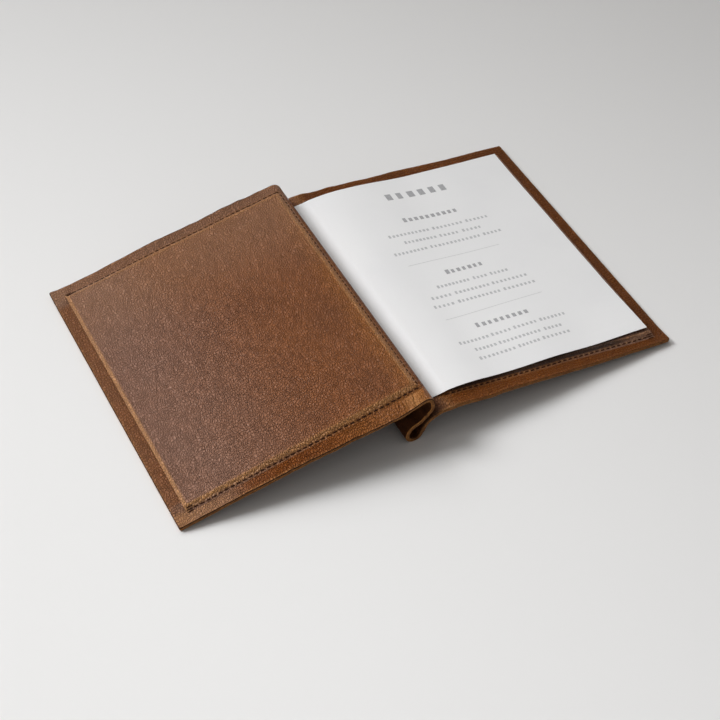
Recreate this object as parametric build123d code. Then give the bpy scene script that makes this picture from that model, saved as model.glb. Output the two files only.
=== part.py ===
from build123d import *
import math
import os

# Driving dimensions of the folder, in millimetres and degrees
cover_height = 234.0
cover_length = 177.5
leather_thickness = 3.0
cover_corner_radius = 3.0

# Fold of the spine, seen from the tail: a roll, a strip down to the table, a bend and a rise
roll_radius = 5.0
roll_shoulder_radius = 6.0
roll_flank_length = 3.2
roll_flank_heading = -80.0
strip_length = 8.5
strip_heading = -135.0
neck_radius = 8.0
neck_heading = -165.0
belly_radius = 9.4
belly_heading = -99.0
bottom_radius = 5.0
rear_strip_heading = 62.0
rear_strip_length = 8.5
rear_neck_radius = 5.0
rise_heading = 44.0
rise_radius = 20.0

# Pocket panels and the stiff boards inside them
panel_thickness = 1.2
panel_spine_gap = 0.5
panel_fore_margin = 9.1
panel_side_margin = 8.0
panel_corner_radius = 3.0
flange_width = 3.2
bevel_width = 4.0
bevel_corner_radius = 3.0
board_thickness = 2.0
pocket_slack = 0.4
board_clearance = 0.3
board_mouth_inset = 2.0
board_corner_radius = 3.0

# Sewing
stitch_pitch = 4.3
stitch_length = 3.3
stitch_width = 0.9
stitch_height = 0.45
stitch_inset = 1.6
tack_count = 3
tack_spacing = 1.05
tack_length = 4.2
tack_width = 0.7
tack_inset = 0.9

# Menu sheet
sheet_side_margin = 12.0
sheet_thickness = 0.3
sheet_fore_margin = 11.6
sheet_rest_gap = 0.1
sheet_bend_start = 6.0
tuck_first_radius = 25.0
tuck_first_turn = 30.0
tuck_run_length = 8.0
tuck_second_radius = 15.0
tuck_second_turn = 18.0

# Clearance left between the two covers when the folder is shut
closing_gap = 0.4

half_height = cover_height / 2
half_leather = leather_thickness / 2
pocket_height = board_thickness + pocket_slack
panel_top = panel_thickness + pocket_height
sheet_height = cover_height - 2 * sheet_side_margin


def heading_vector(heading):
    angle = math.radians(heading)
    return Vector(math.cos(angle), 0, math.sin(angle))


def left_of(heading):
    return heading_vector(heading + 90)


class Trace:
    """A chain of straight runs and tangent bends in the XZ plane, with equal walls on both sides."""

    def __init__(self, start, heading):
        self.point = start
        self.heading = heading
        self.steps = []

    def run(self, length):
        end = self.point + heading_vector(self.heading) * length
        self.steps.append(("run", self.point, self.heading, end, self.heading, None))
        self.point = end

    def bend(self, radius, end_heading):
        side = 1 if end_heading > self.heading else -1
        centre = self.point + left_of(self.heading) * (side * radius)
        end = centre - left_of(end_heading) * (side * radius)
        self.steps.append(("bend", self.point, self.heading, end, end_heading, centre))
        self.point = end
        self.heading = end_heading

    def wall(self, offset):
        """Edges of the wall that lies offset to the left of the chain."""
        edges = []
        for kind, start, start_heading, end, end_heading, centre in self.steps:
            first = start + left_of(start_heading) * offset
            last = end + left_of(end_heading) * offset
            if kind == "run":
                edges.append(Line(first, last))
            else:
                side = 1 if end_heading > start_heading else -1
                middle_heading = (start_heading + end_heading) / 2
                radius = (start - centre).length - side * offset
                middle = centre - left_of(middle_heading) * (side * radius)
                edges.append(ThreePointArc(first, middle, last))
        return edges

    def solid(self, thickness, width):
        """The chain thickened to both sides and drawn out along Y, centred on the XZ plane."""
        left = self.wall(thickness / 2)
        right = self.wall(-thickness / 2)
        ends = [Line(left[0] @ 0, right[0] @ 0), Line(left[-1] @ 1, right[-1] @ 1)]
        face = Face(Wire(left + right + ends))
        return extrude(Pos(0, -width / 2, 0) * face, amount=width, dir=(0, 1, 0))


def resting_tilt(centre_height, radius, length):
    """Tilt of a cover that is tangent to a round of this radius and has its fore-edge on the table."""
    reach = math.hypot(length, radius)
    return math.degrees(math.asin(centre_height / reach) + math.atan2(radius, length))


def pivot_between(start, end, turn):
    """Axis about which a clockwise turn carries one point to the other."""
    span = end - start
    across = Vector(-span.Z, 0, span.X)
    return start + span * 0.5 - across * (0.5 / math.tan(math.radians(turn / 2)))


def turned_about(point, pivot, turn):
    """The point after a clockwise turn about the pivot."""
    angle = math.radians(-turn)
    arm = point - pivot
    x = arm.X * math.cos(angle) - arm.Z * math.sin(angle)
    z = arm.X * math.sin(angle) + arm.Z * math.cos(angle)
    return pivot + Vector(x, 0, z)


def trace_fold(start):
    """The stiff part of the spine, traced from the roll down to the table and up to the rise."""
    chain = Trace(start, strip_heading)
    chain.run(strip_length)
    chain.bend(neck_radius, neck_heading)
    chain.bend(belly_radius, belly_heading)
    chain.bend(bottom_radius, rear_strip_heading)
    lowest = chain.point + left_of(rear_strip_heading) * bottom_radius
    lowest = lowest.Z - bottom_radius - half_leather
    chain.run(rear_strip_length)
    chain.bend(rear_neck_radius, rise_heading)
    return chain, lowest


def make_fold():
    """The fold, set so that its bottom bend rests on the table."""
    lowest = trace_fold(Vector(0, 0, 0))[1]
    return trace_fold(Vector(0, 0, -lowest))[0]


def make_rise(fold):
    centre = fold.point - left_of(rise_heading) * rise_radius
    tilt = resting_tilt(centre.Z, rise_radius - half_leather, cover_length)
    rise = Trace(fold.point, rise_heading)
    rise.bend(rise_radius, -tilt)
    return rise, tilt


def make_roll(fold):
    """The roll is traced backwards, from the strip up over the top to the left cover."""
    strip_top = fold.steps[0][1]
    shoulder = Trace(strip_top, strip_heading + 180)
    shoulder.bend(roll_shoulder_radius, roll_flank_heading + 180)
    shoulder.run(roll_flank_length)
    centre = shoulder.point + left_of(shoulder.heading) * roll_radius
    tilt = resting_tilt(centre.Z, roll_radius - half_leather, cover_length)
    shoulder.bend(roll_radius, tilt + 180)
    return shoulder, tilt


fold = make_fold()
rise, right_tilt = make_rise(fold)
roll, left_tilt = make_roll(fold)

# Each cover has its own plane on the grain side: X runs from the fold to the fore-edge
right_start = rise.point
left_start = roll.point
right_plane = Plane(
    origin=right_start + left_of(-right_tilt) * half_leather,
    x_dir=heading_vector(-right_tilt),
    z_dir=left_of(-right_tilt),
)
left_plane = Plane(
    origin=left_start + left_of(left_tilt) * half_leather,
    x_dir=heading_vector(left_tilt + 180),
    z_dir=left_of(left_tilt),
)

# The head is at +Y, which is -Y in the left cover's own plane
head_side = {"left": -1, "right": 1}

panel_start = panel_spine_gap
panel_end = cover_length - panel_fore_margin
panel_half = half_height - panel_side_margin


def plate(start, end, half_width, radius, corners):
    """A flat outline with rounded corners at one end or the other, or square ones."""
    outline = Pos(start, 0) * Rectangle(end - start, 2 * half_width, align=(Align.MIN, Align.CENTER))
    ends = outline.vertices().group_by(Axis.X)
    rounded = {"start": ends[0], "end": ends[-1], "all": ends[0] + ends[-1]}[corners]
    return fillet(rounded, radius)


def make_cover():
    outline = plate(0, cover_length, half_height, cover_corner_radius, "end")
    return extrude(outline, amount=-leather_thickness)


def make_panel():
    """A pocket of thin leather, moulded over the board and open at the fore-edge."""
    flange = extrude(
        plate(panel_start, panel_end, panel_half, panel_corner_radius, "start"), amount=panel_thickness
    )

    def moulded(base, end):
        foot = panel_start + flange_width
        foot_half = panel_half - flange_width
        top = foot + bevel_width
        top_half = foot_half - bevel_width
        low = plate(foot, end, foot_half, bevel_corner_radius + bevel_width, "start")
        high = plate(top, end, top_half, bevel_corner_radius, "start")
        return loft([Pos(0, 0, base) * low, Pos(0, 0, base + pocket_height) * high])

    past_mouth = panel_end + leather_thickness
    return flange + moulded(panel_thickness, panel_end) - moulded(0, past_mouth)


def make_board():
    start = panel_start + flange_width + bevel_width + board_clearance
    end = panel_end - board_mouth_inset
    half = panel_half - flange_width - bevel_width - board_clearance
    return extrude(plate(start, end, half, board_corner_radius, "all"), amount=board_thickness)


def stitches_between(first, last):
    """One row of stitches from point to point, above the panel's flange and below the cover."""
    span = last - first
    count = int(span.length / stitch_pitch)
    direction = math.degrees(math.atan2(span.Y, span.X))
    levels = [panel_thickness + stitch_height / 2, -leather_thickness - stitch_height / 2]
    row = []
    for level in levels:
        for index in range(count):
            place = first + span * ((index + 0.5) / count)
            stitch = Box(stitch_length, stitch_width, stitch_height)
            row.append(Pos(place.X, place.Y, level) * Rot(0, 0, direction) * stitch)
    return row


def make_seams(side):
    """Seams round the head, the spine side and the tail of one panel, and tacks at their ends."""
    spine_line = panel_start + stitch_inset
    side_line = panel_half - stitch_inset
    tack_middle = panel_end - tack_inset - tack_length / 2
    seam_end = tack_middle - tack_length / 2
    turn_room = stitch_pitch / 2
    head = head_side[side]
    seams = {}
    for name, sign in (("head", head), ("tail", -head)):
        first = Vector(spine_line, sign * side_line, 0)
        last = Vector(seam_end, sign * side_line, 0)
        seams[name + "_seam"] = stitches_between(first, last)
    first = Vector(spine_line, side_line - turn_room, 0)
    last = Vector(spine_line, turn_room - side_line, 0)
    seams["spine_seam"] = stitches_between(first, last)
    tacks = []
    level = panel_thickness + stitch_height / 2
    for sign in (1, -1):
        for index in range(tack_count):
            line = side_line + (index - (tack_count - 1) / 2) * tack_spacing
            tacks.append(Pos(tack_middle, sign * line, level) * Box(tack_length, tack_width, stitch_height))
    seams["bar_tacks"] = tacks
    return seams


def make_sheet():
    """The flat of the menu sheet, resting on the right pocket panel."""
    start = sheet_bend_start
    end = cover_length - sheet_fore_margin
    flat = Pos((start + end) / 2, 0) * Rectangle(end - start, sheet_height)
    return Pos(0, 0, panel_top + sheet_rest_gap) * extrude(flat, amount=sheet_thickness)


def make_tuck():
    """The spine edge of the sheet, bent down into the mouth of the fold."""
    level = panel_top + sheet_rest_gap + sheet_thickness / 2
    start = right_plane.from_local_coords(Vector(sheet_bend_start, 0, level))
    heading = 180 - right_tilt
    tuck = Trace(start, heading)
    tuck.bend(tuck_first_radius, heading + tuck_first_turn)
    tuck.run(tuck_run_length)
    tuck.bend(tuck_second_radius, heading + tuck_first_turn + tuck_second_turn)
    return tuck


tuck = make_tuck()
pieces = {
    "spine_fold": [fold.solid(leather_thickness, cover_height)],
    "spine_rise": [rise.solid(leather_thickness, cover_height)],
    "spine_roll": [roll.solid(leather_thickness, cover_height)],
    "menu_sheet": [right_plane * make_sheet()],
    "menu_sheet_tuck": [tuck.solid(sheet_thickness, sheet_height)],
}
for side, plane in (("left", left_plane), ("right", right_plane)):
    pieces[side + "_cover_leather"] = [plane * make_cover()]
    pieces[side + "_pocket_panel"] = [plane * make_panel()]
    pieces[side + "_board"] = [plane * make_board()]
    for name, row in make_seams(side).items():
        pieces[side + "_" + name] = [plane * stitch for stitch in row]

# The origin is below the middle of the open folder, on the table
left_edge = pieces["left_cover_leather"][0].bounding_box().min.X
right_edge = pieces["right_cover_leather"][0].bounding_box().max.X
to_origin = Vector(-(left_edge + right_edge) / 2, 0, 0)

# Axes on which the folder shuts: the fold swings up level with the right cover, and the left
# cover turns over the roll until it lies parallel above the right one, fore-edge over fore-edge
swing_turn = rise_heading + right_tilt
total_turn = 180 + left_tilt + right_tilt
cover_turn = total_turn - swing_turn
rise_length = rise_radius * math.radians(swing_turn)
fold_end = fold.point
fold_end_shut = right_start - heading_vector(-right_tilt) * rise_length
swing_pivot = pivot_between(fold_end, fold_end_shut, swing_turn)
shut_spacing = leather_thickness + 2 * panel_top + sheet_rest_gap + sheet_thickness + closing_gap
left_start_shut = right_start + left_of(-right_tilt) * shut_spacing
left_start_on_fold = turned_about(left_start_shut, swing_pivot, -swing_turn)
cover_pivot = pivot_between(left_start, left_start_on_fold, cover_turn)

os.makedirs("parts", exist_ok=True)
for name, solids in pieces.items():
    placed = [Pos(to_origin) * solid for solid in solids]
    shape = placed[0] if len(placed) == 1 else Compound(children=placed)
    shape.label = name
    export_step(shape, f"parts/{name}.step")

slide_direction = heading_vector(-right_tilt)
leaf_spot = left_plane.from_local_coords(Vector(cover_length / 2, 0, panel_top)) + to_origin
print("left tilt %.4f, right tilt %.4f" % (left_tilt, right_tilt))
print("cover turn %.4f, swing turn %.4f, ratio %.6f" % (cover_turn, swing_turn, swing_turn / cover_turn))
print("cover pivot", cover_pivot + to_origin)
print("swing pivot", swing_pivot + to_origin)
print("sheet slides along", slide_direction)
print("left panel's top at", leaf_spot, "facing", left_of(left_tilt))
print("tuck ends at", tuck.point + to_origin, "sheet flat width %.1f" % (
    cover_length - sheet_fore_margin - sheet_bend_start
    + math.radians(tuck_first_turn) * tuck_first_radius + tuck_run_length
    + math.radians(tuck_second_turn) * tuck_second_radius))
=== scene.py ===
import math
import random
import bpy
import numpy as np
from mathutils import Matrix, Vector, noise


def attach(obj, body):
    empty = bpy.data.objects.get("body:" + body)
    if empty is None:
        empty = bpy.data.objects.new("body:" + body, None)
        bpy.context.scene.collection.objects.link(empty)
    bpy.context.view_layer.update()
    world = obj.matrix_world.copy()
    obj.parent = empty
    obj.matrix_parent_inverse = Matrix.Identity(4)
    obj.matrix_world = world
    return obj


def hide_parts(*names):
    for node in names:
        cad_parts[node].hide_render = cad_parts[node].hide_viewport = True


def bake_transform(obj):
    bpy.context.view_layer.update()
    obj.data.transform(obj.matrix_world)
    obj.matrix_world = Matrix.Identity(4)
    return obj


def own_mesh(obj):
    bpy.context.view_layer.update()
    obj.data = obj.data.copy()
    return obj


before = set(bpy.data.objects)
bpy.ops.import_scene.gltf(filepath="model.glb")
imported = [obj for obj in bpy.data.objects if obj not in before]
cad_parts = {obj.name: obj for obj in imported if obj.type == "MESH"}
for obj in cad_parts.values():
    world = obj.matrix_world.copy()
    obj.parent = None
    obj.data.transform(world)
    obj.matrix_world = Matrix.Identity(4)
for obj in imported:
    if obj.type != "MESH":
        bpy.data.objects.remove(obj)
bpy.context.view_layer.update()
random.seed(11)
MM = 0.001

# ---- sizes, in mm
COVER_HEIGHT = 234.0
COVER_LENGTH = 177.5
COVER_CORNER = 1.3
LEATHER = 3.0
HALF_HEIGHT = COVER_HEIGHT / 2
BOARD_HALF = 100.0
BOARD_END = 165
PANEL_START = {"left": -3.6, "right": 1.2}
PANEL_END = 168.4
PANEL_HALF = 109.0
PANEL_CORNER = 3.0
RIM_CORNER = 5.0
PANEL_LEATHER = 0.5
PANEL_GAP = 0.04
SEAM_INSET = 1.6
TAIL_STITCHES = {"left": 38, "right": 37}
SPINE_STITCHES = 49
SHEET_START = 6.0
SHEET_END = 165.6
SHEET_TUCK = 25.8
SHEET_HALF = 105.0
SHEET_SHIFT = 0.8
SHEET_LEVEL = 2.9
PAPER = 0.3

SEAM_SPINE = {side: start + SEAM_INSET for side, start in PANEL_START.items()}
SEAM_LONG = PANEL_HALF - SEAM_INSET
SEAM_END = PANEL_END - 5.0
TAIL_PITCH = {side: (SEAM_END - SEAM_SPINE[side]) / TAIL_STITCHES[side] for side in PANEL_START}
SPINE_PITCH = 2 * SEAM_LONG / (SPINE_STITCHES + 1)
TAIL, HEAD = -1, 1
LEAF_MIDDLE = 90

# The moulded rim of a panel: a rise has its height, its start and its length, and a bulge its
# height, its middle and its width, in from the sewn edge. The bead and the lip are at the mouth.
PANEL_FOOT = 0.12
FLANGE_RISE, BEVEL_RISE = (0.95, 0, 2.6), (1.55, 1.7, 3.4)
GROOVE, CREST, PUCKER = (0.22, SEAM_INSET, 0.6), (0.14, 5.0, 0.8), (0.15, 2.0, 0.9)
BEAD, LIP_FALL, LIP_ROUND = (0.25, -2.8, 1.1), 1.5, 2.4

# Each cover lies in its own plane: where it starts at the fold, out to the fore-edge, off the grain
LEAVES = {
    "left": (Vector((-10.66, 0, 36.92)), Vector((-0.98151, 0, -0.19141)),
             Vector((-0.19141, 0, 0.98151))),
    "right": (Vector((8.18, 0, 19.92)), Vector((0.995438, 0, -0.095413)),
              Vector((0.095413, 0, 0.995438))),
}

# The strip's bends, seen from the tail: a turn has its radius, the heading it ends on and its
# steps, and a run its length and its steps. Two pieces meet halfway along a straight run.
LEFT_TILT, RIGHT_TILT = 11.0351, -5.4751
DOWN_HEADING, UP_HEADING = -135, 62
HALF_RUN = 4.25
ROLL_BENDS = [("turn", 5, -80, 12), ("run", 3.2, 2), ("turn", 6, DOWN_HEADING, 7),
              ("run", HALF_RUN, 2)]
FOLD_BENDS = [("turn", 8, -165, 5), ("turn", 9.4, -99, 10), ("turn", 5, UP_HEADING, 16),
              ("run", HALF_RUN, 2)]
RISE_BENDS = [("turn", 5, 44, 3), ("turn", 20, RIGHT_TILT, 14), ("run", COVER_LENGTH, 1)]
ROLL_OUTSIDE = 6.5
STRIP_MIDDLE = Vector((-8.605, 0, 19.965)) * MM

# How far each long margin stands off its cover's plane, from the fold to the fore-edge
MARGIN_LIE = {
    ("left", TAIL): [
        (0, -0.5), (10, -2.4), (20, -3.1), (30, -2.8), (42, -1.9), (55, -1.0), (75, -0.3),
        (100, 0.3), (130, 0.5), (155, 0.1), (177.5, 0.0)],
    ("left", HEAD): [
        (0, 0.8), (20, 1.2), (30, 1.9), (40, 2.4), (50, 1.6), (60, 1.2), (75, 1.6), (90, 2.2),
        (110, 1.9), (125, 0.9), (140, 0.3), (160, 0.0), (170, 0.6), (177.5, 1.9)],
    ("right", TAIL): [
        (0, 0.3), (8, 1.4), (14, 1.7), (25, 0.6), (33, 0.4), (42, 1.5), (52, 1.5), (70, 1.4),
        (90, 0.8), (120, 0.6), (150, 0.9), (177.5, 1.3)],
    ("right", HEAD): [
        (0, 0.3), (5, 1.0), (13, -0.2), (18, 0.1), (28, 0.9), (42, 0.5), (58, 0.1), (80, 0.6),
        (100, 0.0), (130, -0.4), (160, 0.0), (177.5, 0.2)],
}

# How far the sewn edge of each panel wanders in or out from its drawn line
SEAM_WANDER = {
    ("left", TAIL): [(0, -1.7), (84, -0.9), (168, 0.2)],
    ("left", HEAD): [(0, 0.4), (84, 0.2), (168, 0.0)],
    ("right", TAIL): [(0, -1.8), (84, 0.3), (168, 2.3)],
    ("right", HEAD): [(0, 0.0), (168, 0.0)],
}

# Each uneven surface has its own layer of the random waves
LEATHER_WAVES = {"left": 3.0, "right": 9.0}
PANEL_WAVES = {"left": 2.0, "right": 7.0}
EDGE_WAVES, SHEET_WAVES = 5.0, 12.0


def glide(table, place):
    """The value at a place in a table, level at each entry."""
    if place <= table[0][0]:
        return table[0][1]
    for (a, low), (b, high) in zip(table, table[1:]):
        if place <= b:
            s = (place - a) / (b - a)
            return low + (high - low) * s * s * (3 - 2 * s)
    return table[-1][1]


def clamp(value):
    return min(max(value, 0.0), 1.0)


def ease(value):
    s = clamp(value)
    return s * s * (3 - 2 * s)


def rise(place, height, start, length):
    return height * ease((place - start) / length)


def bulge(place, height, middle, width):
    return height * math.exp(-((place - middle) / width) ** 2)


def wave(u, y, fineness, layer):
    return noise.noise(Vector((u * fineness, y * fineness, layer)))


def end_at(y):
    return HEAD if y > 0 else TAIL


def on_leaf(side, u, y, n):
    """The place u out from the fold, y along the spine and n off the grain, in metres."""
    start, out, up = LEAVES[side]
    return (start + out * u + up * n + Vector((0, y, 0))) * MM


def from_leaf(side, co):
    start, out, up = LEAVES[side]
    arm = co / MM - start
    return arm.dot(out), arm.y, arm.dot(up)


def margin_lie(side, u, y):
    """How far a margin stands off the plane, beyond the board that holds the middle flat."""
    free = clamp((abs(y) - BOARD_HALF) / (HALF_HEIGHT - BOARD_HALF))
    return glide(MARGIN_LIE[side, end_at(y)], u) * free ** 1.8


def lie_of_leather(side, u, y):
    """Height of the cover's grain over its plane."""
    free = ease((abs(y) - BOARD_HALF) / 12) if u < BOARD_END else 1.0
    ripple = wave(u, y, 0.05, LEATHER_WAVES[side]) * 0.35 * free * ease((COVER_LENGTH - u) / 14)
    return margin_lie(side, u, y) + ripple


def roll_drop(u):
    """How far the round of the roll has fallen away under a panel that runs on to it."""
    return ROLL_OUTSIDE - math.sqrt(ROLL_OUTSIDE ** 2 - u ** 2) if u < 0 else 0.0


def sewn_y(side, u, y):
    """Where a place of the flat panel comes along Y once it is sewn on, with small errors."""
    return y * (1 + glide(SEAM_WANDER[side, end_at(y)], u) / PANEL_HALF)


def panel_rim(side, u, y):
    """Distance in from the three sewn edges of a panel."""
    a = u - PANEL_START[side]
    b = PANEL_HALF - abs(y)
    if a < RIM_CORNER and b < RIM_CORNER:
        return RIM_CORNER - math.hypot(RIM_CORNER - a, RIM_CORNER - b)
    return min(a, b)


def pull_of_thread(side, u, y):
    """1 in the gap between two stitches, where the leather swells, and -1 under a stitch."""
    if u - PANEL_START[side] < PANEL_HALF - abs(y):
        return -math.cos(2 * math.pi * y / SPINE_PITCH)
    return math.cos(2 * math.pi * (u - SEAM_SPINE[side]) / TAIL_PITCH[side])


def panel_top(side, u, y):
    """Height of the moulded panel over the cover's grain."""
    d = panel_rim(side, u, y)
    flange = PANEL_FOOT + rise(d, *FLANGE_RISE)
    pucker = pull_of_thread(side, u, y) * bulge(d, *PUCKER) if u <= SEAM_END else 0.0
    bead = bulge(u - PANEL_END, *BEAD) * ease((d - 3) / 3)
    t = clamp((u - PANEL_END + LIP_ROUND) / LIP_ROUND)
    lip = LIP_FALL * (1 - math.sqrt(1 - t * t)) * ease((d - 1.5) / 4)
    return (flange - bulge(d, *GROOVE) + rise(d, *BEVEL_RISE) + bulge(d, *CREST)
            + pucker + bead - lip)


def round_corner(u, y, centre_u, centre_y, outward):
    """Brings a place in a square corner on to the arc round the corner's centre."""
    a, b = (u - centre_u) * outward, abs(y) - centre_y
    if a > 0 and b > 0:
        short = max(a, b) / math.hypot(a, b)
        return centre_u + outward * a * short, math.copysign(centre_y + b * short, y)
    return u, y


# ---- workshop helpers
def close_mesh():
    bpy.ops.object.mode_set(mode="OBJECT")


def clear_choice():
    if bpy.context.mode != "OBJECT":
        close_mesh()
    bpy.ops.object.select_all(action="DESELECT")


def pick(piece):
    clear_choice()
    piece.select_set(True)
    bpy.context.view_layer.objects.active = piece


def open_mesh(piece):
    pick(piece)
    bpy.ops.object.mode_set(mode="EDIT")


def open_edges(piece, rule):
    """Opens a mesh with the edges selected that obey the rule."""
    pick(piece)
    mesh = piece.data
    for group in (mesh.vertices, mesh.edges, mesh.polygons):
        group.foreach_set("select", np.zeros(len(group), bool))
    for e in mesh.edges:
        e.select = rule(e)
    bpy.context.tool_settings.mesh_select_mode = (False, True, False)
    bpy.ops.object.mode_set(mode="EDIT")


def bench_plane(name, first, last, half):
    """A flat blank between two lines along Y, half wide to each side in mm."""
    clear_choice()
    span = last - first
    bpy.ops.mesh.primitive_plane_add(size=1, location=(0, 0, 0))
    piece = bpy.context.object
    piece.name = piece.data.name = name
    open_mesh(piece)
    bpy.ops.transform.resize(value=(span.length, 2 * half * MM, 1))
    close_mesh()
    tilt = math.atan2(-span.z, span.x)
    move = Matrix.Translation((first + last) / 2)
    piece.data.transform(move @ Matrix.Rotation(tilt, 4, "Y"))
    return piece


def take_all():
    bpy.ops.mesh.select_all(action="SELECT")


def rule_across(point, direction):
    """One ruled line across the whole open blank."""
    take_all()
    bpy.ops.mesh.bisect(plane_co=point, plane_no=direction)


def rule_lines(piece, side=None, us=(), ys=()):
    """Rules a blank along Y at places u of a cover, then along the strip at places y."""
    open_mesh(piece)
    for u in us:
        rule_across(on_leaf(side, u, 0, 0), LEAVES[side][1])
    for y in ys:
        rule_across((0, y * MM, 0), (0, 1, 0))
    close_mesh()


def ruled(start, end, pitch, fine=()):
    """Ruling positions, even between two ends, with finer ones added."""
    count = max(1, round((end - start) / pitch))
    places = [start + (end - start) * i / count for i in range(1, count)]
    return sorted(set(places) | set(fine))


def ahead_at(heading):
    angle = math.radians(heading)
    return Vector((math.cos(angle), 0, math.sin(angle)))


def wrap(piece, point, heading, bends):
    """Carries the leading edge of a blank round its bends, and returns where the edge ends."""
    tip, angle = point.copy(), math.radians(heading)
    mesh = piece.data

    def at_tip(edge):
        ends = [mesh.vertices[i].co for i in edge.vertices]
        return all(abs(co.x - tip.x) < 1e-6 and abs(co.z - tip.z) < 1e-6 for co in ends)

    open_edges(piece, at_tip)
    for kind, size, *rest in bends:
        if kind == "run":
            move = Vector((math.cos(angle), 0, math.sin(angle))) * (size * MM)
            cuts = rest[0]
            for _ in range(cuts):
                bpy.ops.mesh.extrude_region_move(TRANSFORM_OT_translate={"value": move / cuts})
            tip += move
        else:
            end, steps = math.radians(rest[0]), rest[1]
            reach = (1 if end > angle else -1) * (size * MM)
            centre = tip + Vector((-math.sin(angle), 0, math.cos(angle))) * reach
            bpy.ops.mesh.spin(steps=steps, angle=end - angle, center=centre, axis=(0, 1, 0))
            tip = centre - Vector((-math.sin(end), 0, math.cos(end))) * reach
            angle = end
    close_mesh()
    return tip


def lay_pattern(piece, first, offset):
    """Gives the blank its cut pattern: length along the strip and place along Y, in metres."""
    mesh = piece.data
    low = {v.index for v in mesh.vertices if v.co.y < 0}
    near = {i: [] for i in low}
    for e in mesh.edges:
        a, b = e.vertices
        if a in low and b in low:
            near[a].append(b)
            near[b].append(a)
    here = min(low, key=lambda i: (mesh.vertices[i].co.xz - first.xz).length)
    length, run = {here: offset}, offset
    while True:
        ahead = [i for i in near[here] if i not in length]
        if not ahead:
            break
        run += (mesh.vertices[ahead[0]].co - mesh.vertices[here].co).length
        here = ahead[0]
        length[here] = run
    marks = [(mesh.vertices[i].co.x, mesh.vertices[i].co.z, s) for i, s in length.items()]
    layer = mesh.uv_layers.get("cut") or mesh.uv_layers.new(name="cut")
    for loop in mesh.loops:
        co = mesh.vertices[loop.vertex_index].co
        mark = min(marks, key=lambda m: abs(m[0] - co.x) + abs(m[1] - co.z))
        layer.data[loop.index].uv = (mark[2], co.y)
    return run


def face_up(piece, place, direction):
    """Turns the faces so that the one nearest to a place looks in a direction."""
    open_mesh(piece)
    take_all()
    bpy.ops.mesh.normals_make_consistent(inside=False)
    close_mesh()
    face = min(piece.data.polygons, key=lambda f: (f.center - place).length)
    if face.normal.dot(direction) < 0:
        open_mesh(piece)
        bpy.ops.mesh.flip_normals()
        close_mesh()


def face_off_leaf(piece, side):
    face_up(piece, on_leaf(side, LEAF_MIDDLE, 0, 0), LEAVES[side][2])


def thicken(piece, thickness, offset, back, rim):
    """Gives a sheet its thickness; back and rim count on to the materials of those faces."""
    pick(piece)
    wall = piece.modifiers.new("wall", "SOLIDIFY")
    wall.thickness = thickness * MM
    wall.offset = offset
    wall.use_even_offset = True
    wall.use_quality_normals = True
    wall.material_offset = back
    wall.material_offset_rim = rim
    bpy.ops.object.modifier_apply(modifier="wall")


def smooth(piece, angle=38):
    pick(piece)
    bpy.ops.object.shade_smooth_by_angle(angle=math.radians(angle))


def join(pieces, name):
    clear_choice()
    for piece in pieces:
        piece.select_set(True)
    bpy.context.view_layer.objects.active = pieces[0]
    bpy.ops.object.join()
    whole = bpy.context.object
    whole.name = whole.data.name = name
    return whole


def dress(piece, *materials):
    piece.data.materials.clear()
    for material in materials:
        piece.data.materials.append(material)


WEAR_AND_LIGHT = ("rub_and_highlight", "stain_and_shade", "ochre", "painted_sheen", "crimp")


def store_wear_and_light(piece, marks):
    """Stores at each vertex the leather's rub and painted highlight, stain and painted shade,
    ochre, painted sheen and crimp.
    """
    for name in WEAR_AND_LIGHT:
        layer = piece.data.attributes.new(name, "FLOAT", "POINT")
        layer.data.foreach_set("value", [m.get(name, 0.0) for m in marks])


# ---- materials
def set_inputs(tree, node, values):
    """Sets the inputs of a node, or links those that are given another node's output."""
    for key, value in values.items():
        if hasattr(value, "is_linked"):
            tree.links.new(value, node.inputs[key])
        else:
            node.inputs[key].default_value = value


def put(tree, kind, at=None, **settings):
    """A node with its settings and its inputs."""
    n = tree.nodes.new("ShaderNode" + kind)
    for key, value in settings.items():
        setattr(n, key, value)
    set_inputs(tree, n, at or {})
    return n


def sums(tree, operation, a, b=0.0, c=0.0):
    return put(tree, "Math", {0: a, 1: b, 2: c}, operation=operation).outputs[0]


def weigh(tree, parts, start=0.0):
    """The sum of values, each times its share."""
    for value, share in parts:
        start = sums(tree, "MULTIPLY_ADD", value, share, start)
    return start


def vectors(tree, operation, a, b):
    return put(tree, "VectorMath", {0: a, 1: b}, operation=operation).outputs[0]


def scaled(tree, vector, scale):
    return put(tree, "VectorMath", {0: vector, "Scale": scale}, operation="SCALE").outputs[0]


def step_up(tree, value, low, high, to_low=0.0, to_high=1.0):
    at = {0: value, 1: low, 2: high, 3: to_low, 4: to_high}
    return put(tree, "MapRange", at, interpolation_type="SMOOTHSTEP").outputs[0]


def blend_colours(tree, share, first, second):
    n = put(tree, "Mix", data_type="RGBA")
    set_inputs(tree, n, {0: share, 6: first, 7: second})
    return n.outputs[2]


def clouds(tree, vector, scale, detail, roughness=0.5, distortion=0.0, output="Fac"):
    at = {"Vector": vector, "Scale": scale, "Detail": detail, "Roughness": roughness,
          "Distortion": distortion}
    return put(tree, "TexNoise", at).outputs[output]


def cracks(tree, vector, scale, randomness):
    """Distance from the valleys between cells."""
    at = {"Vector": vector, "Scale": scale, "Randomness": randomness}
    n = put(tree, "TexVoronoi", at, voronoi_dimensions="2D", feature="DISTANCE_TO_EDGE")
    return n.outputs["Distance"]


def drawn_out(tree, vector, turn, across, along):
    at = {"Vector": vector, "Rotation": (0, 0, turn), "Scale": (across, along, 1)}
    return put(tree, "Mapping", at).outputs[0]


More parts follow.
